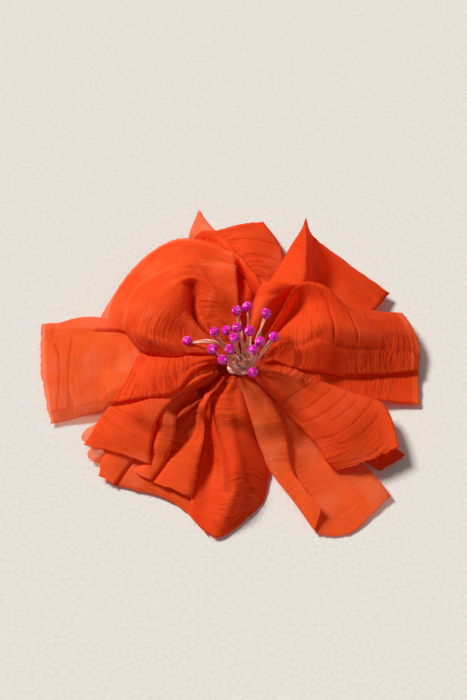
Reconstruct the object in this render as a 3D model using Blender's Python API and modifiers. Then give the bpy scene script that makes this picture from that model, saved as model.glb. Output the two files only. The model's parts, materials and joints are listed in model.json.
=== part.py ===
"""Flower hair clip: chiffon petals and beaded stamens on a felt disc, glued to a sprung steel clip.

Lengths are in millimetres until a mesh is made. The flower lies face up on a table at z = 0, with
the clip under it along X and its finger end towards +X. Petal points are counted from the middle
of the flower, and the middle is placed in the frame by FLOWER_MIDDLE.
"""

import math

import bmesh
import bpy
import numpy as np
from mathutils import Vector

MM = 0.001
FLOWER_MIDDLE = (2.5, -4.9)  # puts the origin under the middle of the whole object

# Chiffon, felt and thread
PETAL_THICKNESS = 0.3
PETAL_GAP = 0.2  # air between one petal and the next
STEPS_PER_SPAN = 2  # facets between two hand-placed points of a petal
FELT_RADIUS = 14.5
FELT_THICKNESS = 1.2
KNOT_RADIUS = 1.4

# Beads
FOOT = Vector((1.5, 0.0, 0.0))  # the stamens' foot, from the flower's middle
DISH_RADIUS = 3.8
DISH_FLOOR = 0.4
DISH_HEIGHT = 0.75
DISH_BOTTOM = 13.4
BEAD_RADIUS = 1.6
STEM_RADIUS = 0.55
STEM_GAP = 0.15
INNER_STEMS = 5  # the beads nearest the middle have their feet in an inner ring, the others round it
INNER_RING = 1.4
OUTER_RING = 3.1
OUTER_RING_TURN = math.radians(30)

# Clip
SHEET = 0.7  # steel sheet of both jaws
JAW_HALF_WIDTH = 4.0
HINGE = Vector((6.0, 0.0, 3.6))
PIN_RADIUS = 0.8
PIN_HALF_LENGTH = 4.4
PIN_HOLE_RADIUS = 1.0
EAR_RADIUS = 1.6
UPPER_EARS_Y = 3.2  # inner face of each ear of the upper jaw
LOWER_EARS_Y = 2.2
UPPER_JAW_MID_Z = 6.25
LOWER_JAW_MID_Z = 1.35
WIRE_RADIUS = 0.3
COIL_RADIUS = 1.35
COIL_TURNS = 4
COIL_HALF_LENGTH = 1.5

JAW_TOP = UPPER_JAW_MID_Z + SHEET / 2
FELT_BOTTOM = JAW_TOP + 0.3
FELT_TOP = FELT_BOTTOM + FELT_THICKNESS

# Each jaw's strip, side on: (x, z of the sheet's middle, half width), from the tip to the finger end
UPPER_STRIP = [
    (-26, UPPER_JAW_MID_Z, 2.2), (-25, UPPER_JAW_MID_Z, 3.2), (-22, UPPER_JAW_MID_Z, 3.8),
    (-17, UPPER_JAW_MID_Z, JAW_HALF_WIDTH), (17, UPPER_JAW_MID_Z, JAW_HALF_WIDTH),
    (22, 7.3, 3.8), (23, 7.5, 2.8),
]
LOWER_STRIP = [
    (-26, 5.25, 2.2), (-25, 5.11, 3.2), (-22, 4.7, 3.8), (-17, 4.02, JAW_HALF_WIDTH),
    (2.5, LOWER_JAW_MID_Z, JAW_HALF_WIDTH), (9.5, LOWER_JAW_MID_Z, JAW_HALF_WIDTH),
    (21, 0.6, 3.8), (22, 0.55, 2.8),
]

# Bead centres, from the flower's middle, and their height over the table
BEADS = [
    (-14.5, 5.5, 18), (-6.5, 5, 24), (-3, 4, 26.5), (0, 13.5, 22), (3, 15.4, 21), (8.5, 12.5, 22),
    (0, 4, 28), (3.5, 3, 28), (10.5, 2.5, 25.5), (6.5, 0, 27), (4.5, -3, 27.5), (-0.8, 0.2, 28.7),
    (-7, -1, 24.5), (-2, -2.5, 27), (-4, -5, 25.5), (4.5, -7.5, 22.5),
]

# Petals from the lowest to the topmost. Each is lofted through rows of points, root first; a row
# runs across the petal, clockwise seen from above. A crease is a column with a sharp fold.
PETALS = {
    "petal_back": ([
        [(2.5, 11.5, 8.5), (5, 12, 8.5), (7.5, 12, 8.5)],
        [(1, 32, 7), (6.5, 32, 8), (12.5, 32.5, 8)],
        [(-4.5, 48.5, 4), (4, 48, 7), (14.5, 46.5, 4)],
        [(-7, 56, 1.2), (1, 57.5, 3), (8.5, 58.8, 2.5)],
    ], ()),
    "petal_back_left_pointed": ([
        [(0.5, 9.5, 9), (2, 10, 9.5), (3.5, 10, 10), (4.5, 9.5, 10.5)],
        [(-0.5, 19.5, 8), (3, 21.5, 8), (5.5, 21.5, 12), (7.5, 23.5, 12)],
        [(-2.5, 32, 7), (1, 33.5, 7.5), (3.5, 29.5, 13), (6.5, 29.5, 13)],
        [(-11.5, 45, 8), (-7.5, 46, 9), (-4.5, 46, 10.5), (-1.5, 43.5, 11)],
        [(-15, 48.5, 8), (-13, 50, 9), (-11, 51, 10), (-7.5, 51, 10)],
        [(-12.5, 57.5, 9), (-12, 57.8, 9.5), (-11.5, 57.8, 9.5), (-11, 57.5, 9)],
    ], ()),
    "petal_back_right_pointed": ([
        [(2, 7.5, 9), (3, 8, 9.5), (4, 8, 10), (5, 9, 9), (6, 9, 9), (7, 9.5, 9)],
        [(4.5, 21.5, 9), (7.5, 21, 11), (10.5, 21.5, 12), (13, 23, 9), (16.5, 21, 9), (20.5, 19.5, 8)],
        [(9.5, 31, 9), (14.5, 28.5, 13), (20, 28, 14), (24, 30, 7), (30, 25, 7), (37.5, 22, 6)],
        [(15, 40.5, 11), (18.5, 38, 15), (21, 35.5, 18), (25, 38.5, 8), (33.5, 32.5, 7), (42.5, 25, 4.5)],
        [(20, 46, 17), (20.5, 46.7, 19), (21, 47.2, 21), (23.5, 46, 13), (32.5, 41, 8), (47.5, 31.5, 3)],
    ], (2,)),
    "petal_right_under": ([
        [(7.5, 3.5, 9), (7.5, 2.3, 9), (7.5, 1, 9)],
        [(25, 9.5, 5), (25.5, 1, 6), (26.5, -5.5, 5.5)],
        [(54.5, 15.4, 1.5), (54.5, 4.4, 2), (54, -6.6, 1.5)],
    ], ()),
    "petal_right_cupped": ([
        [(6, 6.5, 10), (7, 5.8, 10), (7.5, 4.6, 11), (7.8, 3.6, 11), (8, 2.6, 11)],
        [(12.5, 17, 13), (13.5, 15, 10), (12.7, 9.5, 13), (12, 6.5, 12), (11.5, 3, 10)],
        [(18, 25, 17), (18.5, 20.5, 11), (18.5, 9.5, 14.5), (18, 4.5, 13), (17.5, 0.5, 10)],
        [(25.5, 24.5, 19), (25.5, 19, 16), (25, 11.5, 17), (25, 5.5, 13), (24, 0, 8)],
        [(34.5, 19.5, 14), (35, 15, 15), (36, 10.5, 14), (36, 6, 10), (36.5, 1, 6)],
        [(50.5, 24, 4), (52.5, 20, 5), (54.5, 14.5, 5), (55, 9.5, 4.5), (54.5, 3.5, 3.5)],
    ], ()),
    "petal_front_right_under": ([
        [(5.5, 1, 9), (5, -0.5, 9), (4.5, -2, 9)],
        [(27.5, -7, 5), (25, -12.5, 6), (22, -16.5, 5)],
        [(49, -23.5, 2.5), (45.5, -26.5, 3), (41.5, -28.5, 1.5)],
    ], ()),
    "petal_front_right_sheer": ([
        [(4.5, -1.5, 9), (3.3, -2.3, 9), (2, -3, 9)],
        [(20, -12.5, 5.5), (14, -13.5, 4.5), (9.5, -16, 6)],
        [(31.5, -23, 4), (22.5, -26.5, 3), (15, -31, 4)],
        [(39, -29.5, 3), (28, -36.5, 2), (19.5, -40.5, 2.5)],
        [(44, -36.5, 2), (32, -47.5, 1), (22.5, -48, 1)],
    ], ()),
    "petal_front_left_under": ([
        [(-8, -10.5, 8.5), (-9.5, -9.5, 8.5), (-11, -8.5, 8.5)],
        [(-10.5, -24.5, 4), (-18, -23.5, 5), (-25.5, -21.5, 4)],
        [(-8.5, -48, 0.8), (-18.5, -38, 1.2), (-36, -32.5, 1)],
    ], ()),
    "petal_front_spoon": ([
        [(1.4, -2.8, 10), (0, -2.5, 10.5), (-1.2, -2.2, 11), (-2.3, -1.6, 10), (-3.5, -1.2, 10)],
        [(2.5, -8.5, 7), (-1.5, -9.5, 10), (-6.5, -10.5, 10.5), (-7.5, -7.5, 8), (-8, -6, 8)],
        [(5.5, -20, 4.5), (1, -19.5, 9), (-5, -20, 10), (-7.5, -16.5, 5), (-9, -15.5, 5)],
        [(9, -27.5, 1.5), (3.5, -28, 6.5), (-2.5, -30.8, 10), (-7, -27, 3), (-10.5, -27.5, 3.5)],
        [(8, -36.5, 0.8), (3.5, -37, 4), (-1.5, -39.2, 7.2), (-7.5, -38, 2), (-13, -38, 2.5)],
        [(5.5, -40.5, 0.8), (-0.5, -46, 0.8), (-5.5, -49, 0.8), (-9.5, -46.5, 1), (-13.5, -42.5, 1.5)],
    ], ()),
    "petal_front_right_folded": ([
        [(2.6, -3, 10.5), (1, -3.8, 11), (0, -4, 10)],
        [(9, -9.5, 8.5), (5, -10, 9.5), (2, -9.5, 8)],
        [(14, -19, 6.5), (9.5, -20, 7), (5.5, -20, 5)],
        [(16, -29.5, 5), (12.5, -29.5, 4.5), (9.5, -29, 2.5)],
        [(19.5, -36, 4), (17.5, -36, 3), (15, -37, 1.5)],
        [(24, -41.5, 3.5), (23, -44, 2), (22, -47.5, 0.8)],
    ], ()),
    "petal_front_right": ([
        [(6.2, 1, 11), (5.2, -0.2, 11.5), (4.2, -1.5, 11.5), (3.4, -2.6, 11)],
        [(14, 1, 10.5), (12.5, -3.5, 12.5), (10, -7.5, 12), (9, -9, 9)],
        [(25, -3, 9), (22, -9.5, 12.5), (19, -14, 12), (16, -15.5, 8.5)],
        [(36.5, -6.5, 7.5), (32.5, -15, 10.5), (28, -20.5, 10.5), (22, -21.5, 7)],
        [(43.5, -10, 6.5), (39, -19, 8), (33, -25, 8.5), (25.5, -27, 6)],
        [(47, -23, 6.5), (41.5, -26, 7), (35.5, -28.5, 6.5), (28.5, -29.5, 4)],
    ], ()),
    "petal_left_loop_upper": ([
        [(-11, -5.5, 8.5), (-11, -4, 8.5)],
        [(-30, -16, 4.5), (-31.5, -10, 4.5)],
        [(-45, -20.5, 1.5), (-46, -15.5, 2)],
    ], ()),
    "petal_left_loop_lower": ([
        [(-11.5, -8.5, 8.5), (-11.5, -6.5, 8.5)],
        [(-27.5, -21.5, 4), (-30, -16.5, 4)],
        [(-40.5, -27, 1.5), (-45, -22.5, 2)],
    ], ()),
    "petal_front_left_tab": ([
        [(-10, -10.5, 8.5), (-11, -9, 8.5), (-12, -7.5, 8.5)],
        [(-22, -20, 5), (-23.5, -17.5, 5), (-25.5, -15.5, 5)],
        [(-30, -26, 2.5), (-34, -25.5, 3), (-38, -24, 2.5)],
        [(-35.5, -33, 1.2), (-38, -31.5, 1.5), (-40, -30, 1.2)],
    ], ()),
    "petal_front_left_inner": ([
        [(-3.6, -3.6, 11), (-4, -3, 11), (-4.5, -2.4, 10)],
        [(-9, -13.5, 10), (-10, -13.5, 9.5), (-11, -12.5, 8)],
        [(-9.5, -19, 9), (-11, -19.5, 8), (-13, -19.5, 6.5)],
        [(-10.5, -27.5, 6.5), (-14.5, -27, 5.5), (-19, -25.5, 4)],
        [(-13, -38, 3), (-19, -35, 3), (-24, -33, 2)],
    ], ()),
    "petal_front_left_narrow": ([
        [(-5.4, -3.2, 10), (-5.8, -2.6, 10.5), (-6.2, -2, 10)],
        [(-16.5, -12.5, 8), (-18.5, -12, 8.5), (-20, -11.5, 8)],
        [(-18, -21.5, 6), (-20.5, -21, 6.5), (-23, -20.5, 5.5)],
        [(-21, -27.5, 4), (-24, -27.5, 4.5), (-26, -26.5, 3.5)],
        [(-24.5, -32.5, 2.5), (-27.5, -31, 3), (-30, -29, 2.5)],
    ], ()),
    "petal_front_left_square": ([
        [(-7, -4, 9.5), (-7, -3, 9.5), (-7, -1.5, 9.5)],
        [(-19.5, -13, 7), (-21, -9.5, 8), (-22.5, -5.5, 8)],
        [(-24, -20, 5), (-31, -16, 6.5), (-36.5, -10, 6)],
        [(-25, -28, 3), (-35, -24.5, 3.5), (-44.5, -21.5, 3)],
    ], ()),
    "petal_left_wide": ([
        [(-6, 0, 9.5), (-6, 1.5, 9.5), (-5.5, 3, 9.5)],
        [(-25.5, -6, 6.5), (-26, 4.5, 7), (-26, 14, 7)],
        [(-40.5, -10, 3), (-41.5, 6, 4.5), (-42, 22, 4)],
        [(-55, -13, 1.2), (-59, 5, 2), (-60, 21, 1.5)],
    ], ()),
    "petal_back_left_outer": ([
        [(-4.5, 4, 11), (-5, 5.2, 11), (-5, 6.5, 11), (-4, 7.2, 11), (-2.6, 7.6, 11), (-0.6, 7.6, 11)],
        [(-23, 7.5, 8), (-23, 11.5, 14), (-21.5, 21.5, 15), (-15.5, 28, 16), (-9.5, 31, 17),
         (-3.5, 25.5, 14)],
        [(-34, 15.5, 5), (-35.5, 23.5, 9), (-31, 33, 10), (-22, 41, 12), (-13, 42, 13), (-0.5, 34.5, 14)],
        [(-43.5, 17.5, 3), (-39, 27, 4), (-33, 37.5, 6), (-24, 45.5, 8), (-14.5, 46.5, 11),
         (-0.5, 39.5, 13)],
    ], ()),
    "petal_left_doubled": ([
        [(-4.4, 0.6, 12), (-4, 1.4, 12), (-3.6, 2.2, 11.5)],
        [(-12.5, -4.5, 12.5), (-11.5, -1, 13), (-11, 2.5, 11)],
        [(-18, -10.5, 10), (-18.5, -4, 12), (-18.5, 3.5, 9.5)],
        [(-26.5, -11, 6.5), (-25.5, -4, 9.5), (-24, 4.5, 8)],
        [(-37.5, -10, 4), (-32.5, -3, 5.5), (-29, 5.5, 6)],
    ], ()),
    "petal_back_left_cupped": ([
        [(-2.5, 1.8, 12), (-3.2, 2.8, 12), (-3.6, 4, 12), (-3.2, 5.6, 11.5), (-1.8, 6.2, 12),
         (0.4, 6, 12.5)],
        [(-11.5, 2, 12), (-14.5, 5.5, 13), (-14.5, 11, 13.5), (-11, 15.5, 10.5), (-6, 15.5, 12.5), (1, 14, 14)],
        [(-20.5, 1.5, 11), (-25, 5.5, 16), (-22.5, 13, 20), (-13, 23.5, 15), (-5.5, 20.5, 17),
         (0.5, 18.5, 18)],
        [(-28, 5.5, 9), (-31, 11, 13), (-28, 20.5, 18), (-15.5, 28, 20), (-7.5, 25.5, 20),
         (0, 25.5, 20)],
        [(-35, 16.5, 5), (-33.5, 21.5, 8), (-29.5, 27.5, 12), (-17.5, 33, 18), (-9.5, 33, 20),
         (0, 30, 21)],
    ], ()),
}

# The heap of petals is tracked on a square map of cells, each holding the lowest height at which
# the middle of the next petal may lie.
CELL = 0.4
MAP_HALF = 75
FACET_SAMPLES = 10  # points tested along each side of a facet
CLEARANCE = PETAL_THICKNESS + PETAL_GAP
DRAPE_PASSES = 60


def clear_scene():
    for obj in list(bpy.data.objects):
        bpy.data.objects.remove(obj, do_unlink=True)


def new_collection(name):
    collection = bpy.data.collections.new(name)
    bpy.context.scene.collection.children.link(collection)
    return collection


def material(name, colour, roughness, metallic=0.0, transmission=0.0):
    made = bpy.data.materials.new(name)
    made.use_nodes = True
    shader = made.node_tree.nodes["Principled BSDF"]
    shader.inputs["Base Color"].default_value = (*colour, 1)
    shader.inputs["Roughness"].default_value = roughness
    shader.inputs["Metallic"].default_value = metallic
    shader.inputs["Transmission Weight"].default_value = transmission
    return made


def add_empty(name, place, parent=None):
    empty = bpy.data.objects.new(name, None)
    PARTS.objects.link(empty)
    empty.parent = parent
    empty.location = Vector(place) * MM
    return empty


def add_object(name, mesh, made_of=None, parent=None, collection=None):
    obj = bpy.data.objects.new(name, mesh)
    (collection or PARTS).objects.link(obj)
    obj.parent = parent
    if made_of:
        obj.data.materials.append(made_of)
    if collection is CUTTERS:
        obj.hide_render = True
        obj.display_type = "WIRE"
    return obj


def mesh_from(bm, name, smooth=True):
    """The bmesh, drawn in millimetres, as a mesh in metres."""
    bmesh.ops.scale(bm, vec=(MM, MM, MM), verts=bm.verts)
    bmesh.ops.recalc_face_normals(bm, faces=bm.faces)
    mesh = bpy.data.meshes.new(name)
    bm.to_mesh(mesh)
    bm.free()
    if smooth:
        mesh.shade_smooth()
        mesh.set_sharp_from_angle(angle=math.radians(40))
    return mesh


def boolean(obj, other, operation):
    modifier = obj.modifiers.new(f"{operation.lower()} {other.name}", "BOOLEAN")
    modifier.operation = operation
    modifier.solver = "EXACT"
    modifier.object = other


# Petals


def spline(points, steps, creases=()):
    """A Catmull-Rom curve through the points, along their first axis, with a corner at each crease."""
    rows = []
    last = len(points) - 1
    for i in range(last):
        a, b = points[i], points[i + 1]
        before = 2 * a - b if i == 0 or i in creases else points[i - 1]
        after = 2 * b - a if i + 1 == last or i + 1 in creases else points[i + 2]
        for t in np.arange(steps) / steps:
            bend = (2 * before - 5 * a + 4 * b - after) * t**2 + (3 * a - before - 3 * b + after) * t**3
            rows.append(a + 0.5 * ((b - before) * t + bend))
    rows.append(points[last])
    return np.array(rows)


def loft(rows, creases):
    """A petal's middle surface as a grid of points: rows from root to end, columns across."""
    along = spline(np.array(rows, float), STEPS_PER_SPAN)
    across = spline(along.swapaxes(0, 1), STEPS_PER_SPAN, creases)
    return across.swapaxes(0, 1)


def facet_points(grid):
    """Points spread over the two triangles of each facet: an array of facets by samples by 3."""
    a, b, c, d = grid[:-1, :-1], grid[:-1, 1:], grid[1:, 1:], grid[1:, :-1]
    spread = np.linspace(0, 1, FACET_SAMPLES)
    points = []
    for s in spread:
        for t in spread:
            if s >= t:
                points.append(a + s * (b - a) + t * (c - b))
            else:
                points.append(a + t * (d - a) + s * (c - d))
    return np.stack(points, axis=2)


def cell_of(points):
    return np.rint((points[..., :2] + MAP_HALF) / CELL).astype(int)


def empty_heap():
    """The map with only the table, the upper jaw and the felt disc on it."""
    side = np.arange(0, 2 * MAP_HALF + CELL, CELL) - MAP_HALF
    x, y = np.meshgrid(side, side, indexing="ij")
    under = PETAL_THICKNESS / 2 + PETAL_GAP
    heap = np.full(x.shape, PETAL_THICKNESS / 2 + 0.1)
    jaw = (x > -26 - under) & (x < 17) & (abs(y) < JAW_HALF_WIDTH + under)
    finger_end = (x >= 17) & (x < 23 + under) & (abs(y) < JAW_HALF_WIDTH + under)
    felt = np.hypot(x - FOOT.x, y - FOOT.y) < FELT_RADIUS + under
    heap[jaw] = JAW_TOP + under
    heap[finger_end] = JAW_TOP + 1.3 + under
    heap[felt] = FELT_TOP + under
    return heap


def add_to_heap(heap, grid):
    """Raises the map by the petal, so that the next one keeps CLEARANCE from it in every direction."""
    points = facet_points(grid).reshape(-1, 3)
    cells = cell_of(points)
    reach = int(CLEARANCE / CELL) + 1
    for i in range(-reach, reach + 1):
        for j in range(-reach, reach + 1):
            aside = max(0.0, math.hypot(i, j) - 0.5) * CELL
            if aside < CLEARANCE:
                rise = math.sqrt(CLEARANCE**2 - aside**2)
                np.maximum.at(heap, (cells[:, 0] + i, cells[:, 1] + j), points[:, 2] + rise)


def drape(heap, grid):
    """The petal lifted just clear of the heap, with the lift eased out over its neighbours."""
    grid = grid.copy()
    for _ in range(DRAPE_PASSES):
        points = facet_points(grid)
        cells = cell_of(points)
        short = (heap[cells[..., 0], cells[..., 1]] - points[..., 2]).max(axis=2)
        if short.max() <= 0:
            break
        lift = np.zeros(grid.shape[:2])
        for corner in (lift[:-1, :-1], lift[:-1, 1:], lift[1:, 1:], lift[1:, :-1]):
            np.maximum(corner, short, out=corner)
        grid[..., 2] += lift
    return grid


def petal_mesh(name, grid):
    rows, columns = grid.shape[:2]
    mesh = bpy.data.meshes.new(name)
    faces = [
        (r * columns + c, r * columns + c + 1, (r + 1) * columns + c + 1, (r + 1) * columns + c)
        for r in range(rows - 1)
        for c in range(columns - 1)
    ]
    corners = [(f[0], f[1], f[2]) for f in faces] + [(f[0], f[2], f[3]) for f in faces]
    mesh.from_pydata((grid.reshape(-1, 3) * MM).tolist(), [], corners)
    mesh.shade_smooth()
    return mesh


def make_petals(parent):
    chiffon = material("orange chiffon", (0.75, 0.07, 0.015), 0.9)
    heap = empty_heap()
    for name, (rows, creases) in PETALS.items():
        grid = drape(heap, loft(rows, creases))
        add_to_heap(heap, grid)
        petal = add_object(name, petal_mesh(name, grid), chiffon, parent)
        cloth = petal.modifiers.new("thickness", "SOLIDIFY")
        cloth.thickness = PETAL_THICKNESS * MM
        cloth.offset = 0


# Stamens


def turned(name, profile, made_of, parent, steps=16):
    """A closed profile of (radius, z) turned about Z."""
    mesh = bpy.data.meshes.new(name)
    points = [(r * MM, 0, z * MM) for r, z in profile]
    mesh.from_pydata(points, [(i, (i + 1) % len(points)) for i in range(len(points))], [])
    obj = add_object(name, mesh, made_of, parent)
    screw = obj.modifiers.new("turn", "SCREW")
    screw.steps = steps
    screw.render_steps = steps
    screw.use_smooth_shade = True
    return obj


def cylinder(name, radius, start, end, made_of, parent=None, collection=None, segments=16):
    start, end = Vector(start), Vector(end)
    bm = bmesh.new()
    bmesh.ops.create_cone(
        bm, cap_ends=True, segments=segments, radius1=radius, radius2=radius, depth=(end - start).length
    )
    obj = add_object(name, mesh_from(bm, name), made_of, parent, collection)
    obj.location = (start + end) / 2 * MM
    obj.rotation_mode = "QUATERNION"
    obj.rotation_quaternion = (end - start).to_track_quat("Z", "Y")
    return obj


def stem_feet():
    """Where each bead's stem stands in the dish: in two rings, in the order of the beads round it."""
    arms = {place: Vector(place[:2]) - FOOT.xy for place in BEADS}
    outward = sorted(BEADS, key=lambda place: arms[place].length)
    foot_z = DISH_BOTTOM + DISH_HEIGHT + STEM_RADIUS + STEM_GAP
    feet = {}
    for ring, radius, turn in (
        (outward[:INNER_STEMS], INNER_RING, 0), (outward[INNER_STEMS:], OUTER_RING, OUTER_RING_TURN)
    ):
        ring.sort(key=lambda place: math.atan2(arms[place].y, arms[place].x))
        for i, place in enumerate(ring):
            angle = 2 * math.pi * i / len(ring) + turn - math.pi
            feet[place] = Vector((FOOT.x + radius * math.cos(angle), FOOT.y + radius * math.sin(angle), foot_z))
    return feet


def make_stamens(parent):
    clear_glass = material("clear glass", (0.95, 0.8, 0.78), 0.1, transmission=0.8)
    peach_glass = material("peach glass", (0.8, 0.45, 0.3), 0.15, transmission=0.6)
    magenta_glass = material("magenta glass", (0.6, 0.0, 0.35), 0.15)
    thread = material("thread", (0.7, 0.06, 0.02), 0.9)
    edge = DISH_RADIUS
    dish = turned("stamen_dish", [
        (edge, 0.45), (2.4, 0), (0.5, 0), (0.5, DISH_FLOOR), (2.2, DISH_FLOOR), (edge - 0.2, DISH_HEIGHT),
    ], clear_glass, parent)
    dish.location = (FOOT + Vector((0, 0, DISH_BOTTOM))) * MM
    knot_top = DISH_BOTTOM - 0.3
    knot_foot = FOOT + Vector((0, 0, FELT_TOP + 0.3))
    cylinder("gathering_knot", KNOT_RADIUS, knot_foot, FOOT + Vector((0, 0, knot_top)), thread, parent)
    for number, (place, foot) in enumerate(stem_feet().items(), 1):
        bead_centre = Vector(place)
        aim = (bead_centre - foot).normalized()
        bm = bmesh.new()
        bmesh.ops.create_icosphere(bm, subdivisions=2, radius=BEAD_RADIUS)
        bead = add_object(f"bead_{number:02}", mesh_from(bm, "bead", smooth=False), magenta_glass, parent)
        bead.location = bead_centre * MM
        bead.rotation_mode = "QUATERNION"
        bead.rotation_quaternion = aim.to_track_quat("Z", "Y")
        stem_end = bead_centre - aim * (BEAD_RADIUS + STEM_GAP)
        cylinder(f"stem_{number:02}", STEM_RADIUS, foot, stem_end, peach_glass, parent, segments=8)


# Clip


def strip_mesh(name, stations):
    """A strip of sheet, bent side on, as an open surface."""
    bm = bmesh.new()
    rows = [[bm.verts.new((x, y, z)) for y in (-half, half)] for x, z, half in stations]
    for (a, b), (c, d) in zip(rows, rows[1:]):
        bm.faces.new((a, c, d, b))
    return mesh_from(bm, name)


def ear(name, foot_z, foot_x, y):
    """A rounded lug that stands on a jaw at foot_z and holds the pin, SHEET thick from y outwards."""
    away = math.copysign(1, HINGE.z - foot_z)
    steps = 12
    arc = [math.pi * i / steps for i in range(steps + 1)]
    outline = [(HINGE.x + EAR_RADIUS * math.cos(a), HINGE.z + away * EAR_RADIUS * math.sin(a)) for a in arc]
    outline += [(HINGE.x - foot_x, foot_z), (HINGE.x + foot_x, foot_z)]
    bm = bmesh.new()
    face = bm.faces.new([bm.verts.new((x, y, z)) for x, z in outline])
    grown = bmesh.ops.extrude_face_region(bm, geom=[face])["geom"]
    moved = [v for v in grown if isinstance(v, bmesh.types.BMVert)]
    bmesh.ops.translate(bm, verts=moved, vec=(0, math.copysign(SHEET, y), 0))
    return add_object(name, mesh_from(bm, name, smooth=False), collection=CUTTERS)


def make_jaw(name, stations, ears_y, foot_z, foot_x, made_of, parent, offset):
    """A bent strip with a pair of ears and a hole through them. Offset moves the shapes to the parent."""
    jaw = add_object(name, strip_mesh(name, stations), made_of, parent)
    sheet = jaw.modifiers.new("sheet", "SOLIDIFY")
    sheet.thickness = SHEET * MM
    sheet.offset = 0
    sheet.use_even_offset = True
    hole_end = Vector((0, 2 * JAW_HALF_WIDTH, 0))
    hole = cylinder(
        f"{name} pin hole", PIN_HOLE_RADIUS, HINGE - hole_end, HINGE + hole_end, None, collection=CUTTERS
    )
    for side in (-1, 1):
        lug = ear(f"{name} ear {side}", foot_z, foot_x, side * ears_y)
        lug.parent = parent
        lug.location = offset
        boolean(jaw, lug, "UNION")
    hole.parent = parent
    hole.location += offset
    boolean(jaw, hole, "DIFFERENCE")
    jaw.location = offset
    return jaw


def torsion_spring(made_of, parent):
    """Four turns round the pin, and two legs that push the finger ends apart."""
    per_turn = 12
    count = COIL_TURNS * per_turn
    points = [Vector((15.5, -COIL_HALF_LENGTH, 1.9)), Vector((11, -COIL_HALF_LENGTH, 2.15))]
    for i in range(count + 1 + per_turn // 2):
        turn = 2 * math.pi * i / per_turn
        y = -COIL_HALF_LENGTH + 2 * COIL_HALF_LENGTH * i / (count + per_turn // 2)
        points.append(HINGE + Vector((-COIL_RADIUS * math.sin(turn), y, -COIL_RADIUS * math.cos(turn))))
    points += [Vector((11, COIL_HALF_LENGTH, 5.25)), Vector((16, COIL_HALF_LENGTH, 5.5))]
    curve = bpy.data.curves.new("torsion_spring", "CURVE")
    curve.dimensions = "3D"
    curve.bevel_depth = WIRE_RADIUS * MM
    curve.bevel_resolution = 1
    curve.use_fill_caps = True
    wire = curve.splines.new("POLY")
    wire.points.add(len(points) - 1)
    for spot, point in zip(wire.points, points):
        spot.co = (*(point * MM), 1)
    return add_object("torsion_spring", curve, made_of, parent)


def make_clip(parent):
    steel = material("nickel plated steel", (0.72, 0.71, 0.69), 0.3, metallic=1.0)
    wool = material("felt", (0.55, 0.05, 0.02), 1.0)
    felt_foot = FOOT + Vector((0, 0, FELT_BOTTOM))
    cylinder("felt_backing", FELT_RADIUS, felt_foot, felt_foot + Vector((0, 0, FELT_THICKNESS)), wool,
             parent, segments=40)
    make_jaw("clip_upper_jaw", UPPER_STRIP, UPPER_EARS_Y, UPPER_JAW_MID_Z, 3.0, steel, parent, Vector())
    along_pin = Vector((0, PIN_HALF_LENGTH, 0))
    cylinder("hinge_pin", PIN_RADIUS, HINGE - along_pin, HINGE + along_pin, steel, parent)
    torsion_spring(steel, parent)
    axis = add_empty("hinge axis", HINGE, parent)
    make_jaw("clip_lower_jaw", LOWER_STRIP, LOWER_EARS_Y, LOWER_JAW_MID_Z, 2.5, steel, axis, -HINGE * MM)


clear_scene()
PARTS = new_collection("flower hair clip")
CUTTERS = new_collection("cutters")
MIDDLE = add_empty("flower middle", (*FLOWER_MIDDLE, 0))
make_clip(MIDDLE)
make_petals(MIDDLE)
make_stamens(MIDDLE)
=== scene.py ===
"""Flower hair clip: crinkled chiffon petals, beaded stamens, felt and a steel clip, round the CAD frame.

Lengths are in millimetres until a mesh is made. Petal points are counted from the middle of the
flower, as in the CAD source, and MIDDLE carries them into the frame.
"""

import json
import math

import bmesh
import bpy
import numpy as np
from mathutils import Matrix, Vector


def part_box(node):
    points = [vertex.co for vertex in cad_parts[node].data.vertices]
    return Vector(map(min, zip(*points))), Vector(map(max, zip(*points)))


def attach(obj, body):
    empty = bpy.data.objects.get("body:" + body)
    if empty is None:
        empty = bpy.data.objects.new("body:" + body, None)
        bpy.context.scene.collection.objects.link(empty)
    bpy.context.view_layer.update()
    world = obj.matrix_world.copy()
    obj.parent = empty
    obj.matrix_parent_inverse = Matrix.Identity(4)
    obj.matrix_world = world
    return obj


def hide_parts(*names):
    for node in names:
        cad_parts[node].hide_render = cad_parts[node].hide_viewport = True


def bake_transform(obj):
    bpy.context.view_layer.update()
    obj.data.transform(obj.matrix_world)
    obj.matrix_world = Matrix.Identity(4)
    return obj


MM = 0.001

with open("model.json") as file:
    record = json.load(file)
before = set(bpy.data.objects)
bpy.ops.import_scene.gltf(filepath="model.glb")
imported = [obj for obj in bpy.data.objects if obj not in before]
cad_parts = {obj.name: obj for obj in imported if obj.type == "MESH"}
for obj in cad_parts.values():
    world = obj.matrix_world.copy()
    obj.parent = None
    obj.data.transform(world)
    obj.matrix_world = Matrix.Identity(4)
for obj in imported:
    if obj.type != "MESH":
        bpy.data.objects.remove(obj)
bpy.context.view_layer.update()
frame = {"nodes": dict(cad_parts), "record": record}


def node_box(node):
    """A CAD node's lowest and highest corner in millimetres."""
    low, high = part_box(node)
    return np.array(low) / MM, np.array(high) / MM


def node_middle(node):
    low, high = node_box(node)
    return (low + high) / 2


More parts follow.
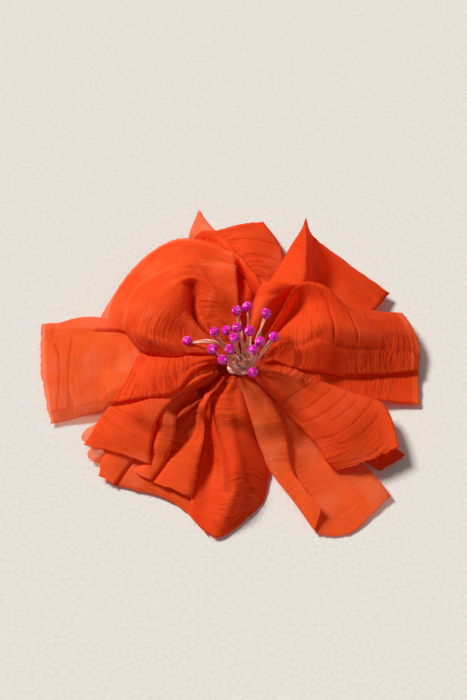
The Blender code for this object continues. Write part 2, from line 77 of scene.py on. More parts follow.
# The frame's own measures
FOOT = np.array([1.5, 0.0])  # the stamens' foot, from the flower's middle
MIDDLE = np.array([*(node_middle("felt_backing")[:2] - FOOT), 0.0])
FELT_LOW, FELT_HIGH = node_box("felt_backing")
FELT_RADIUS = (FELT_HIGH[0] - FELT_LOW[0]) / 2
FELT_TOP = FELT_HIGH[2]
JAW_LOW, JAW_HIGH = node_box("clip_upper_jaw")
GLUE_LINE = 0.3  # between the jaw and the felt
JAW_TOP = FELT_LOW[2] - GLUE_LINE
JAW_HALF_WIDTH = (JAW_HIGH[1] - JAW_LOW[1]) / 2
HINGE = np.array(frame["record"]["behaviour"]["joints"][0]["pos_m"]) / MM
BEAD_COUNT = sum(name.startswith("bead_") for name in frame["nodes"])
BEAD_RADIUS = (node_box("bead_01")[1] - node_box("bead_01")[0]).max() / 2

# Cloth
PETAL_THICKNESS = 0.14
CLEARANCE = 0.5  # between the middles of two petals
ROW_STEP = 0.27  # facets along a petal, fine enough for the crinkle
COLUMN_STEP = 0.75  # and across it
STEPS_PER_SPAN = 12  # of the smooth surface that the facets are read from
CELL = 0.4  # of the map that the heap of petals is tracked on
MAP_HALF = 75
LOWEST_PETAL = 0.35  # of a petal's middle over the table
FINGER_END_FROM = 17  # where the upper jaw's raised finger end begins, along X from the flower's middle
UV_UNIT = 100.0  # millimetres of cloth to one unit of its UV map
CREASE_SAMPLES = 90  # places along a crease that distances are measured from
FINE_CREASE = 0.6  # a crease of a smaller half width shows as a line of painted shade, whatever its depth
FULL_CREASE = 3  # the depth at which a wider crease's painted shade is at its darkest
PUCKER_PITCH = 0.6
FINE_PITCH = 0.42
FOLD_PITCH = 2.6
VALLEY_WIDTH = 0.17  # as a share of the puckers' noise
PINK_PITCH = 2.2
FRINGE_SHARE = 0.45  # of the yarns along the cut end

# Stamens, knot and spring
# Rows of a bead's corners: degrees up, and how far round, in facets
FACET_ROWS = ((-62, 0), (-33, 0.5), (0, 0), (33, 0.5), (62, 0))
FACETS_ROUND = 8
STRAND_RADIUS = 0.3
LOW_STEM = 0.4  # a stem that rises less than this along its length arches up
LOOP_COUNT = 9
THREAD_PITCH = 0.36
COIL_RADIUS = 1.35
COIL_HALF = 1.5  # of the coil's length along the pin
COIL_TURNS = 4.5

# Camera
CAMERA_FROM_MIDDLE = (-0.00102, -0.20944, 0.38513)  # metres
CAMERA_RISE = 60  # degrees that it looks down by


# Shape helpers


def spline(points, steps, creases=()):
    """A Catmull-Rom curve through the points, along their first axis, with a corner at each crease."""
    rows = []
    last = len(points) - 1
    for i in range(last):
        a, b = points[i], points[i + 1]
        before = 2 * a - b if i == 0 or i in creases else points[i - 1]
        after = 2 * b - a if i + 1 == last or i + 1 in creases else points[i + 2]
        for t in np.arange(steps) / steps:
            bend = (2 * before - 5 * a + 4 * b - after) * t**2 + (3 * a - before - 3 * b + after) * t**3
            rows.append(a + 0.5 * ((b - before) * t + bend))
    rows.append(points[last])
    return np.array(rows)


def evened(grid, step):
    """The grid read again along its first axis, at even steps of its mean length."""
    lengths = np.linalg.norm(np.diff(grid, axis=0), axis=-1).mean(axis=-1)
    reached = np.concatenate([[0], np.cumsum(lengths)])
    at = np.linspace(0, reached[-1], max(4, int(reached[-1] / step)))
    columns = grid.reshape(len(grid), -1).T
    read = np.stack([np.interp(at, reached, column) for column in columns], axis=1)
    return read.reshape(-1, *grid.shape[1:])


def noise(x, y, seed):
    """Smooth noise from -1 to 1, with one wave to about two units."""
    table = np.random.default_rng(seed).uniform(-1, 1, (64, 64))
    ix, iy = np.floor(x).astype(int), np.floor(y).astype(int)
    fx, fy = x - ix, y - iy
    fx = fx * fx * (3 - 2 * fx)
    fy = fy * fy * (3 - 2 * fy)
    corners = [table[(ix + i) % 64, (iy + j) % 64] for i in (0, 1) for j in (0, 1)]
    low = corners[0] * (1 - fy) + corners[1] * fy
    high = corners[2] * (1 - fy) + corners[3] * fy
    return low * (1 - fx) + high * fx


def smooth_step(low, high, x):
    t = np.clip((x - low) / (high - low), 0, 1)
    return t * t * (3 - 2 * t)


def padded_field(field, reach, axis):
    """The field with its first and last values repeated reach times along the axis."""
    return np.concatenate([field.take([0] * reach, axis), field, field.take([-1] * reach, axis)], axis)


def spread(field, reach):
    """Each value replaced by the highest within reach steps of it, along either axis."""
    for axis in (0, 1):
        padded = padded_field(field, reach, axis)
        size = field.shape[axis]
        field = np.max([padded.take(range(i, i + size), axis) for i in range(2 * reach + 1)], axis=0)
    return field


def blurred(field, reach):
    """A running mean over reach steps each way, taken twice."""
    for _ in range(2):
        for axis in (0, 1):
            total = np.cumsum(padded_field(field, reach, axis), axis=axis)
            zero = np.zeros_like(total.take([0], axis))
            total = np.concatenate([zero, total], axis)
            size, width = field.shape[axis], 2 * reach + 1
            ends, starts = range(width, width + size), range(size)
            field = (total.take(ends, axis) - total.take(starts, axis)) / width
    return field


def grid_normals(grid):
    normals = np.cross(np.gradient(grid, axis=1), np.gradient(grid, axis=0))
    normals /= np.linalg.norm(normals, axis=2, keepdims=True) + 1e-9
    return np.where(normals[..., 2:] < 0, -normals, normals)


def add_mesh(name, points, faces, material):
    """A smooth-shaded piece made of points in frame millimetres."""
    mesh = bpy.data.meshes.new(name)
    mesh.from_pydata((np.asarray(points) * MM).tolist(), [], faces)
    mesh.validate()
    mesh.shade_smooth()
    obj = bpy.data.objects.new(name, mesh)
    bpy.context.scene.collection.objects.link(obj)
    mesh.materials.append(material)
    return obj


def tube_parts(path, radii, sides=8):
    """Points and faces of a closed round tube along a path, with a radius at each of its points."""
    path = np.asarray(path, float)
    tangents = np.gradient(path, axis=0)
    tangents /= np.linalg.norm(tangents, axis=1, keepdims=True)
    side = np.cross(tangents[0], [0.31, 0.52, 0.79])
    points = []
    for centre, tangent, radius in zip(path, tangents, np.broadcast_to(radii, len(path))):
        side = side - tangent * (side @ tangent)
        side = side / np.linalg.norm(side)
        up = np.cross(tangent, side)
        angles = 2 * np.pi * np.arange(sides) / sides
        points.append(centre + radius * (np.outer(np.cos(angles), side) + np.outer(np.sin(angles), up)))
    points = np.concatenate(points)
    faces = []
    for r in range(len(path) - 1):
        for s in range(sides):
            a, b = r * sides + s, r * sides + (s + 1) % sides
            faces.append((a, b, b + sides, a + sides))
    faces.append(tuple(reversed(range(sides))))
    faces.append(tuple(range(len(points) - sides, len(points))))
    return points, faces


def joined_parts(parts):
    """Several sets of points and faces as one."""
    points, faces, count = [], [], 0
    for part_points, part_faces in parts:
        points.append(part_points)
        faces += [tuple(i + count for i in face) for face in part_faces]
        count += len(part_points)
    return np.concatenate(points), faces


# Materials


class Shader:
    """A node material under construction, with short calls for the nodes used here."""

    def __init__(self, name):
        self.material = bpy.data.materials.new(name)
        self.material.use_nodes = True
        self.tree = self.material.node_tree
        self.tree.nodes.clear()

    def node(self, kind, inputs=(), **settings):
        made = self.tree.nodes.new(kind)
        for key, value in settings.items():
            setattr(made, key, value)
        for key, value in dict(inputs).items():
            if isinstance(value, bpy.types.NodeSocket):
                self.tree.links.new(value, made.inputs[key])
            else:
                made.inputs[key].default_value = value
        return made

    def place(self):
        return self.node("ShaderNodeTexCoord").outputs["Object"]

    def attribute(self, name):
        return self.node("ShaderNodeAttribute", attribute_name=name).outputs["Fac"]

    def noise(self, vector, scale, detail=2.0, roughness=0.5):
        inputs = {"Vector": vector, "Scale": scale, "Detail": detail, "Roughness": roughness}
        return self.node("ShaderNodeTexNoise", inputs).outputs["Fac"]

    def stretched(self, vector, scale):
        return self.node("ShaderNodeMapping", {"Vector": vector, "Scale": scale}).outputs[0]

    def ramp(self, value, *stops):
        """A colour ramp through (place, colour) stops."""
        made = self.node("ShaderNodeValToRGB", {"Fac": value})
        ramp = made.color_ramp
        while len(ramp.elements) < len(stops):
            ramp.elements.new(0.5)
        for element, (place, colour) in zip(ramp.elements, stops):
            element.position = place
            element.color = (*colour, 1)
        return made.outputs[0]

    def mix_colour(self, factor, a, b, blend="MIX"):
        made = self.node("ShaderNodeMix", data_type="RGBA", blend_type=blend)
        for index, value in ((0, factor), (6, a), (7, b)):
            if isinstance(value, bpy.types.NodeSocket):
                self.tree.links.new(value, made.inputs[index])
            else:
                made.inputs[index].default_value = (*value, 1) if isinstance(value, tuple) else value
        return made.outputs[2]

    def maths(self, operation, *values):
        return self.node("ShaderNodeMath", dict(enumerate(values)), operation=operation).outputs[0]

    def bump(self, height, distance, strength=1.0, under=None):
        inputs = {"Height": height, "Distance": distance * MM, "Strength": strength}
        if under:
            inputs["Normal"] = under
        return self.node("ShaderNodeBump", inputs).outputs[0]

    def mix_shader(self, factor, a, b):
        return self.node("ShaderNodeMixShader", {0: factor, 1: a, 2: b}).outputs[0]

    def principled(self, inputs):
        return self.node("ShaderNodeBsdfPrincipled", inputs).outputs[0]

    def finish(self, surface):
        self.node("ShaderNodeOutputMaterial", {"Surface": surface})
        return self.material


def chiffon(name, light, deep, through):
    """Crinkled chiffon: fine weave, crinkle lines darkened with painted shade, light through it, sheer
    where single.
    """
    s = Shader(name)
    cloth = s.node("ShaderNodeUVMap", uv_map="cloth").outputs[0]
    sheer = s.attribute("sheer")
    valley = s.attribute("valley")
    crepe = s.attribute("crepe")
    place = s.place()
    streaks = s.noise(s.stretched(cloth, (UV_UNIT / 12, UV_UNIT / 0.65, 1)), 1.0, 2.0, 0.5)
    lines = s.maths("ABSOLUTE", s.maths("SUBTRACT", streaks, 0.5))
    patches = s.noise(place, 90.0, 2.0)
    grain = s.noise(s.stretched(cloth, (UV_UNIT / 0.4, UV_UNIT / 0.3, 1)), 1.0, 2.0, 0.7)
    white = (1.0, 1.0, 1.0)
    black = (0.0, 0.0, 0.0)
    # Painted shade: thin dark lines along the crinkle streaks, where shade falls in the fine folds, as
    # strong as the crepe.
    painted_shade_and_tone = s.mix_colour(crepe, white, s.ramp(lines, (0.0, (0.74, 0.58, 0.52)), (0.05, white)))
    # Painted shade in the crinkle valleys and the sunk creases, from the valley attribute.
    painted_shade_and_tone = s.mix_colour(1.0, painted_shade_and_tone, s.ramp(valley, (0.1, white), (1.0, (0.62, 0.36, 0.3))), "MULTIPLY")
    # Duller patches and grain at random: the cloth's own tone.
    painted_shade_and_tone = s.mix_colour(1.0, painted_shade_and_tone, s.ramp(patches, (0.35, (0.94, 0.86, 0.8)), (0.6, white)), "MULTIPLY")
    painted_shade_and_tone = s.mix_colour(1.0, painted_shade_and_tone, s.ramp(grain, (0.35, (0.93, 0.86, 0.84)), (0.6, white)), "MULTIPLY")
    # Painted highlight: salmon pink blotches on the sheerer cloth, standing for light glowing pinkish
    # through it.
    blotches = s.ramp(patches, (0.5, black), (0.65, white))
    painted_pink_highlight = s.maths("MULTIPLY", s.maths("MULTIPLY", sheer, 0.45), blotches)
    colour = s.mix_colour(painted_pink_highlight, s.mix_colour(sheer, deep, light), (1.0, 0.27, 0.13))
    colour = s.mix_colour(1.0, colour, painted_shade_and_tone, "MULTIPLY")
    ridges = s.maths("MULTIPLY", s.ramp(lines, (0.0, black), (0.14, white)), crepe)
    normal = s.bump(ridges, 0.1, 0.8)
    normal = s.bump(grain, 0.03, 0.6, normal)
    body = s.principled({
        "Base Color": colour, "Roughness": 0.8, "Normal": normal, "Specular IOR Level": 0.12,
        "Sheen Weight": 0.08, "Sheen Roughness": 0.3, "Sheen Tint": (1.0, 0.4, 0.3, 1),
    })
    # The light through the cloth takes the same painted shade and tone.
    lit_through = s.mix_colour(1.0, through, painted_shade_and_tone, "MULTIPLY")
    glow = s.node("ShaderNodeBsdfTranslucent", {"Color": lit_through, "Normal": normal}).outputs[0]
    gap = s.node("ShaderNodeBsdfTransparent", {"Color": (1.0, 0.5, 0.35, 1)}).outputs[0]
    inside = s.node("ShaderNodeBsdfTransparent").outputs[0]
    back = s.node("ShaderNodeNewGeometry").outputs["Backfacing"]
    surface = s.mix_shader(0.4, body, glow)
    surface = s.mix_shader(s.maths("MULTIPLY", s.maths("POWER", sheer, 5.0), 0.5), surface, gap)
    return s.finish(s.mix_shader(back, surface, inside))


def faceted_glass(name):
    """Magenta glass: facets painted dark and light to stand for its inner reflections, and a little cloud.
    """
    s = Shader(name)
    place = s.place()
    painted_facet_reflection = s.attribute("painted_facet_reflection")
    cloud_and_reflection = s.mix_colour(0.65, s.noise(place, 700.0, 3.0), painted_facet_reflection)
    # From dark magenta to bright pink: painted facet reflections mixed with the cloud.
    colour = s.ramp(
        cloud_and_reflection, (0.1, (0.38, 0.0, 0.13)), (0.45, (0.64, 0.0, 0.27)), (0.7, (0.82, 0.0, 0.42)),
        (0.82, (1.0, 0.35, 0.9)),
    )
    return s.finish(s.principled({
        "Base Color": colour, "Roughness": 0.08, "IOR": 1.55, "Transmission Weight": 0.08,
        "Coat Weight": 0.3, "Coat Roughness": 0.03, "Specular IOR Level": 0.3,
    }))


def clear_nylon(name, tint, roughness, transmission):
    """Clear drawn nylon or glue, with faint haze in it."""
    s = Shader(name)
    place = s.place()
    haze = s.noise(place, 900.0, 2.0)
    colour = s.mix_colour(haze, tint, tuple(min(1.0, c * 1.15) for c in tint))
    normal = s.bump(s.noise(place, 1500.0, 1.0), 0.04, 0.4)
    return s.finish(s.principled({
        "Base Color": colour, "Roughness": roughness, "IOR": 1.5, "Normal": normal,
        "Transmission Weight": transmission, "Coat Weight": 0.5, "Coat Roughness": 0.05,
    }))


def plated_steel(name):
    """Nickel plating with fine drawn scratches along X and duller patches."""
    s = Shader(name)
    place = s.place()
    scratches = s.noise(s.stretched(place, (120, 4000, 4000)), 1.0, 3.0, 0.7)
    patches = s.noise(place, 160.0, 3.0)
    colour = s.ramp(patches, (0.3, (0.55, 0.54, 0.52)), (0.7, (0.78, 0.77, 0.75)))
    rough = s.node("ShaderNodeMapRange", {"Value": patches, "To Min": 0.2, "To Max": 0.42}).outputs[0]
    return s.finish(s.principled({
        "Base Color": colour, "Metallic": 1.0, "Roughness": rough, "Normal": s.bump(scratches, 0.01, 0.5),
    }))


def wool_felt(name):
    """Pressed wool: matted fibres in two sizes."""
    s = Shader(name)
    place = s.place()
    fibres = s.noise(place, 2600.0, 4.0, 0.75)
    clumps = s.noise(place, 420.0, 3.0)
    fibre_colour = s.ramp(fibres, (0.3, (0.22, 0.008, 0.004)), (0.7, (0.5, 0.03, 0.012)))
    clump_colour = s.ramp(clumps, (0.3, (0.28, 0.012, 0.006)), (0.7, (0.45, 0.03, 0.012)))
    colour = s.mix_colour(0.5, fibre_colour, clump_colour)
    normal = s.bump(fibres, 0.12, 0.8, s.bump(clumps, 0.25, 0.5))
    return s.finish(s.principled({
        "Base Color": colour, "Roughness": 1.0, "Normal": normal, "Specular IOR Level": 0.1,
        "Sheen Weight": 0.4, "Sheen Roughness": 0.5, "Sheen Tint": (1.0, 0.5, 0.35, 1),
    }))


def thread(name):
    """Twisted sewing thread."""
    s = Shader(name)
    place = s.place()
    twist = s.noise(place, 3000.0, 2.0)
    colour = s.ramp(twist, (0.35, (0.4, 0.03, 0.012)), (0.65, (0.75, 0.1, 0.035)))
    return s.finish(s.principled({
        "Base Color": colour, "Roughness": 0.85, "Normal": s.bump(twist, 0.05, 0.7),
    }))


def pale_canvas(name):
    """The studio floor: pale cotton with faint slubs."""
    s = Shader(name)
    place = s.place()
    slubs = s.noise(s.stretched(place, (900, 900, 900)), 1.0, 2.0)
    colour = s.ramp(slubs, (0.3, (0.585, 0.562, 0.515)), (0.7, (0.645, 0.62, 0.57)))
    return s.finish(s.principled({
        "Base Color": colour, "Roughness": 0.95, "Normal": s.bump(slubs, 0.15, 0.5),
        "Specular IOR Level": 0.1,
    }))


# Petals from the lowest to the topmost. Each is lofted through rows of points, root first; a row
# runs across the petal, clockwise seen from above. A crease is a column with a sharp fold.
PETALS = {
    "petal_back": ([
        [(2.5, 11.5, 8.5), (5, 12, 8.5), (7.5, 12, 8.5)],
        [(1, 32, 7), (6.5, 32, 8), (12.5, 32.5, 8)],
        [(-4.5, 48.5, 4), (4, 48, 7), (14.5, 46.5, 4)],
        [(-7, 56, 1.2), (1, 57.5, 3), (8.5, 58.8, 2.5)],
    ], ()),
    "petal_back_left_pointed": ([
        [(0.5, 9.5, 9), (2, 10, 9.5), (3.5, 10, 10), (4.5, 9.5, 10.5)],
        [(-0.5, 19.5, 8), (3, 21.5, 8), (5.5, 21.5, 12), (7.5, 23.5, 12)],
        [(-2.5, 32, 7), (1, 33.5, 7.5), (3.5, 29.5, 13), (6.5, 29.5, 13)],
        [(-11.5, 45, 8), (-7.5, 46, 9), (-4.5, 46, 10.5), (-1.5, 43.5, 11)],
        [(-15, 48.5, 8), (-13, 50, 9), (-11, 51, 10), (-7.5, 51, 10)],
        [(-12.5, 57.5, 9), (-12, 57.8, 9.5), (-11.5, 57.8, 9.5), (-11, 57.5, 9)],
    ], ()),
    "petal_back_right_pointed": ([
        [(2, 7.5, 9), (3, 8, 9.5), (4, 8, 10), (5, 9, 9), (6, 9, 9), (7, 9.5, 9)],
        [(4.5, 21.5, 9), (7.5, 21, 11), (10.5, 21.5, 12), (13, 23, 9), (16.5, 21, 9), (20.5, 19.5, 8)],
        [(9.5, 31, 9), (14.5, 28.5, 13), (20, 28, 14), (24, 30, 7), (30, 25, 7), (37.5, 22, 6)],
        [(15, 40.5, 11), (18.5, 38, 15), (21, 35.5, 18), (25, 38.5, 8), (33.5, 32.5, 7), (42.5, 25, 4.5)],
        [(20, 46, 17), (20.5, 46.7, 19), (21, 47.2, 21), (23.5, 46, 13), (32.5, 41, 8), (47.5, 31.5, 3)],
    ], (2,)),
    "petal_right_under": ([
        [(7.5, 3.5, 9), (7.5, 2.3, 9), (7.5, 1, 9)],
        [(25, 9.5, 5), (25.5, 1, 6), (26.5, -5.5, 5.5)],
        [(54.5, 15.4, 1.5), (54.5, 4.4, 2), (54, -6.6, 1.5)],
    ], ()),
    "petal_right_cupped": ([
        [(6, 6.5, 10), (7, 5.8, 10), (7.5, 4.6, 11), (7.8, 3.6, 11), (8, 2.6, 11)],
        [(12.5, 17, 13), (13.5, 15, 10), (12.7, 9.5, 13), (12, 6.5, 12), (11.5, 3, 10)],
        [(18, 25, 17), (18.5, 20.5, 11), (18.5, 9.5, 14.5), (18, 4.5, 13), (17.5, 0.5, 10)],
        [(25.5, 24.5, 19), (25.5, 19, 16), (25, 11.5, 17), (25, 5.5, 13), (24, 0, 8)],
        [(34.5, 19.5, 14), (35, 15, 15), (36, 10.5, 14), (36, 6, 10), (36.5, 1, 6)],
        [(50.5, 24, 4), (52.5, 20, 5), (54.5, 14.5, 5), (55, 9.5, 4.5), (54.5, 3.5, 3.5)],
    ], ()),
    "petal_front_right_under": ([
        [(5.5, 1, 9), (5, -0.5, 9), (4.5, -2, 9)],
        [(27.5, -7, 5), (25, -12.5, 6), (22, -16.5, 5)],
        [(49, -23.5, 2.5), (45.5, -26.5, 3), (41.5, -28.5, 1.5)],
    ], ()),
    "petal_front_right_sheer": ([
        [(4.5, -1.5, 9), (3.3, -2.3, 9), (2, -3, 9)],
        [(20, -12.5, 5.5), (14, -13.5, 4.5), (9.5, -16, 6)],
        [(31.5, -23, 4), (22.5, -26.5, 3), (15, -31, 4)],
        [(39, -29.5, 3), (28, -36.5, 2), (19.5, -40.5, 2.5)],
        [(44, -36.5, 2), (32, -47.5, 1), (22.5, -48, 1)],
    ], ()),
    "petal_front_left_under": ([
        [(-8, -10.5, 8.5), (-9.5, -9.5, 8.5), (-11, -8.5, 8.5)],
        [(-10.5, -24.5, 4), (-18, -23.5, 5), (-25.5, -21.5, 4)],
        [(-8.5, -48, 0.8), (-18.5, -38, 1.2), (-36, -32.5, 1)],
    ], ()),
    "petal_front_spoon": ([
        [(1.4, -2.8, 10), (0, -2.5, 10.5), (-1.2, -2.2, 11), (-2.3, -1.6, 10), (-3.5, -1.2, 10)],
        [(2.5, -8.5, 7), (-1.5, -9.5, 10), (-6.5, -10.5, 10.5), (-7.5, -7.5, 8), (-8, -6, 8)],
        [(5.5, -20, 4.5), (1, -19.5, 9), (-5, -20, 10), (-7.5, -16.5, 5), (-9, -15.5, 5)],
        [(9, -27.5, 1.5), (3.5, -28, 6.5), (-2.5, -30.8, 10), (-7, -27, 3), (-10.5, -27.5, 3.5)],
        [(8, -36.5, 0.8), (3.5, -37, 4), (-1.5, -39.2, 7.2), (-7.5, -38, 2), (-13, -38, 2.5)],
        [(5.5, -40.5, 0.8), (-0.5, -46, 0.8), (-5.5, -49, 0.8), (-9.5, -46.5, 1), (-13.5, -42.5, 1.5)],
    ], ()),
    "petal_front_right_folded": ([
        [(2.6, -3, 10.5), (1, -3.8, 11), (0, -4, 10)],
        [(9, -9.5, 8.5), (5, -10, 9.5), (2, -9.5, 8)],
        [(14, -19, 6.5), (9.5, -20, 7), (5.5, -20, 5)],
        [(16, -29.5, 5), (12.5, -29.5, 4.5), (9.5, -29, 2.5)],
        [(19.5, -36, 4), (17.5, -36, 3), (15, -37, 1.5)],
        [(24, -41.5, 3.5), (23, -44, 2), (22, -47.5, 0.8)],
    ], ()),
    "petal_front_right": ([
        [(6.2, 1, 11), (5.2, -0.2, 11.5), (4.2, -1.5, 11.5), (3.4, -2.6, 11)],
        [(14, 1, 10.5), (12.5, -3.5, 12.5), (10, -7.5, 12), (9, -9, 9)],
        [(25, -3, 9), (22, -9.5, 12.5), (19, -14, 12), (16, -15.5, 8.5)],
        [(36.5, -6.5, 7.5), (32.5, -15, 10.5), (28, -20.5, 10.5), (22, -21.5, 7)],
        [(43.5, -10, 6.5), (39, -19, 8), (33, -25, 8.5), (25.5, -27, 6)],
        [(47, -23, 6.5), (41.5, -26, 7), (35.5, -28.5, 6.5), (28.5, -29.5, 4)],
    ], ()),
    "petal_left_loop_upper": ([
        [(-11, -5.5, 8.5), (-11, -4, 8.5)],
        [(-30, -16, 4.5), (-31.5, -10, 4.5)],
        [(-45, -20.5, 1.5), (-46, -15.5, 2)],
    ], ()),
    "petal_left_loop_lower": ([
        [(-11.5, -8.5, 8.5), (-11.5, -6.5, 8.5)],
        [(-27.5, -21.5, 4), (-30, -16.5, 4)],
        [(-40.5, -27, 1.5), (-45, -22.5, 2)],
    ], ()),
    "petal_front_left_tab": ([
        [(-10, -10.5, 8.5), (-11, -9, 8.5), (-12, -7.5, 8.5)],
        [(-22, -20, 5), (-23.5, -17.5, 5), (-25.5, -15.5, 5)],
        [(-30, -26, 2.5), (-34, -25.5, 3), (-38, -24, 2.5)],
        [(-35.5, -33, 1.2), (-38, -31.5, 1.5), (-40, -30, 1.2)],
    ], ()),
    "petal_front_left_inner": ([
        [(-3.6, -3.6, 11), (-4, -3, 11), (-4.5, -2.4, 10)],
        [(-9, -13.5, 10), (-10, -13.5, 9.5), (-11, -12.5, 8)],
        [(-9.5, -19, 9), (-11, -19.5, 8), (-13, -19.5, 6.5)],
        [(-10.5, -27.5, 6.5), (-14.5, -27, 5.5), (-19, -25.5, 4)],
        [(-13, -38, 3), (-19, -35, 3), (-24, -33, 2)],
    ], ()),
    "petal_front_left_narrow": ([
        [(-5.4, -3.2, 10), (-5.8, -2.6, 10.5), (-6.2, -2, 10)],
        [(-16.5, -12.5, 8), (-18.5, -12, 8.5), (-20, -11.5, 8)],
        [(-18, -21.5, 6), (-20.5, -21, 6.5), (-23, -20.5, 5.5)],
        [(-21, -27.5, 4), (-24, -27.5, 4.5), (-26, -26.5, 3.5)],
        [(-24.5, -32.5, 2.5), (-27.5, -31, 3), (-30, -29, 2.5)],
    ], ()),
    "petal_front_left_square": ([
        [(-7, -4, 9.5), (-7, -3, 9.5), (-7, -1.5, 9.5)],
        [(-19.5, -13, 7), (-21, -9.5, 8), (-22.5, -5.5, 8)],
        [(-24, -20, 5), (-31, -16, 6.5), (-36.5, -10, 6)],
        [(-25, -28, 3), (-35, -24.5, 3.5), (-44.5, -21.5, 3)],
    ], ()),
    "petal_left_wide": ([
        [(-6, 0, 9.5), (-6, 1.5, 9.5), (-5.5, 3, 9.5)],
        [(-25.5, -6, 6.5), (-26, 4.5, 7), (-26, 14, 7)],
        [(-40.5, -10, 3), (-41.5, 6, 4.5), (-42, 22, 4)],
        [(-55, -13, 1.2), (-59, 5, 2), (-60, 21, 1.5)],
    ], ()),
    "petal_back_left_outer": ([
        [(-4.5, 4, 11), (-5, 5.2, 11), (-5, 6.5, 11), (-4, 7.2, 11), (-2.6, 7.6, 11), (-0.6, 7.6, 11)],
        [(-23, 7.5, 8), (-23, 11.5, 14), (-21.5, 21.5, 15), (-15.5, 28, 16), (-9.5, 31, 17),
         (-3.5, 25.5, 14)],
        [(-34, 15.5, 5), (-35.5, 23.5, 9), (-31, 33, 10), (-22, 41, 12), (-13, 42, 13), (-0.5, 34.5, 14)],
        [(-43.5, 17.5, 3), (-39, 27, 4), (-33, 37.5, 6), (-24, 45.5, 8), (-14.5, 46.5, 11),
         (-0.5, 39.5, 13)],
    ], ()),
    "petal_left_doubled": ([
        [(-4.4, 0.6, 12), (-4, 1.4, 12), (-3.6, 2.2, 11.5)],
        [(-12.5, -4.5, 12.5), (-11.5, -1, 13), (-11, 2.5, 11)],
        [(-18, -10.5, 10), (-18.5, -4, 12), (-18.5, 3.5, 9.5)],
        [(-26.5, -11, 6.5), (-25.5, -4, 9.5), (-24, 4.5, 8)],
        [(-37.5, -10, 4), (-32.5, -3, 5.5), (-29, 5.5, 6)],
    ], ()),
    "petal_back_left_cupped": ([
        [(-2.5, 1.8, 12), (-3.2, 2.8, 12), (-3.6, 4, 12), (-3.2, 5.6, 11.5), (-1.8, 6.2, 12),
         (0.4, 6, 12.5)],
        [(-11.5, 2, 12), (-14.5, 5.5, 13), (-14.5, 11, 13.5), (-11, 15.5, 10.5), (-6, 15.5, 12.5),
         (1, 14, 14)],
        [(-20.5, 1.5, 11), (-25, 5.5, 16), (-22.5, 13, 20), (-13, 23.5, 15), (-5.5, 20.5, 17),
         (0.5, 18.5, 18)],
        [(-28, 5.5, 9), (-31, 11, 13), (-28, 20.5, 18), (-15.5, 28, 20), (-7.5, 25.5, 20),
         (0, 25.5, 20)],
        [(-35, 16.5, 5), (-33.5, 21.5, 8), (-29.5, 27.5, 12), (-17.5, 33, 18), (-9.5, 33, 20),
         (0, 30, 21)],
    ], ()),
}


# How each petal's cloth looks: (depth of its crinkles, how sheer it is from 0 doubled to 1 single,
# pleats at its root, depth of its long folds), and then its bands: the edge that a band runs along,
# its width in millimetres of cloth, and how sheer it is there.
CLOTH = {
    "petal_back": (0.09, 0.2, 2, 0.3, ()),
    "petal_back_left_pointed": (0.03, 0.05, 2, 0.1, (("end", 9, 0.85),)),
    "petal_back_right_pointed": (0.05, 0.15, 3, 0.15, ()),
    "petal_right_under": (0.15, 0.0, 2, 0.3, (("end", 2, 0.6),)),
    "petal_right_cupped": (0.1, 0.15, 3, 0.2, (("end", 3, 0.7),)),
    "petal_front_right_under": (0.1, 0.0, 2, 0.3, ()),
    "petal_front_right_sheer": (0.04, 0.8, 3, 0.3, ()),
    "petal_front_left_under": (0.08, 0.5, 2, 0.3, ()),
    "petal_front_spoon": (0.06, 0.1, 3, 0.15, ()),
    "petal_front_right_folded": (0.04, 0.65, 2, 0.1, ()),
    "petal_front_right": (0.11, 0.25, 3, 0.15, ()),
    # The loops' ends are fully sheer: their single thin layer, and partly a painted highlight of the light
    # scattered at the rolled end.
    "petal_left_loop_upper": (0.03, 0.4, 1, 0.1, (("end", 5, 1.0),)),
    "petal_left_loop_lower": (0.03, 0.4, 1, 0.1, (("end", 5, 1.0),)),
    "petal_front_left_tab": (0.05, 0.5, 2, 0.1, ()),
    "petal_front_left_inner": (0.09, 0.35, 2, 0.15, ()),
    "petal_front_left_narrow": (0.06, 0.4, 2, 0.1, ()),
    "petal_front_left_square": (0.07, 0.3, 2, 0.15, ()),
    "petal_left_wide": (0.035, 0.75, 3, 0.35, (("start", 3, 1.0), ("end", 1.5, 0.95))),
    "petal_back_left_outer": (0.04, 0.3, 3, 0.15, (("end", 2.5, 0.85),)),
    "petal_left_doubled": (0.15, 0.1, 3, 0.2, ()),
    "petal_back_left_cupped": (0.14, 0.25, 4, 0.2, (("end", 3, 0.8),)),
}
